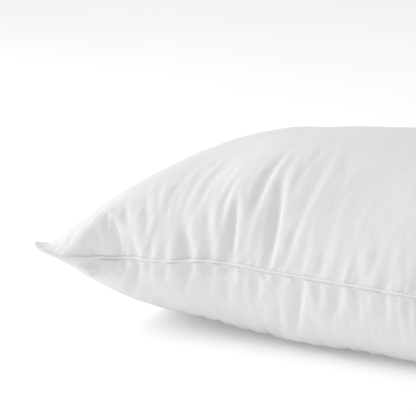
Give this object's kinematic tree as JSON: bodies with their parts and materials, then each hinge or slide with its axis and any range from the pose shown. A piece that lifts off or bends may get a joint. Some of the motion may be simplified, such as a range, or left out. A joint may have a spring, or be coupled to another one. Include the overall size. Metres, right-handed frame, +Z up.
{
  "type": "bed pillow",
  "caption": "Plump down-filled bed pillow with a corded piping round its seam, sides drawn in between pointed corners, and a flat underside where it lies.",
  "frame": {"origin": "middle of the flat face that the pillow lies on, at the centre of the box on the plan", "axes": "+X along the length, +Y across the width, +Z up from the surface that the pillow lies on"},
  "size_m": [0.7216, 0.4744, 0.206],
  "materials": {
    "ticking": "matt downproof cotton, plain weave",
    "piping": "sateen bias strip with a soft sheen",
    "cord": "matt twisted cotton",
    "fill": "matt down clusters",
    "thread": "spun polyester",
    "label": "satin ribbon"
  },
  "bodies": {
    "root": {"top_panel": "ticking", "bottom_panel": "ticking", "down_fill": "fill", "piping_cover": "piping", "piping_cord": "cord", "piping_thread": "thread", "seam_thread": "thread", "closing_thread": "thread", "overlock_edging": "thread", "care_label": "label"}
  },
  "joints": []
}
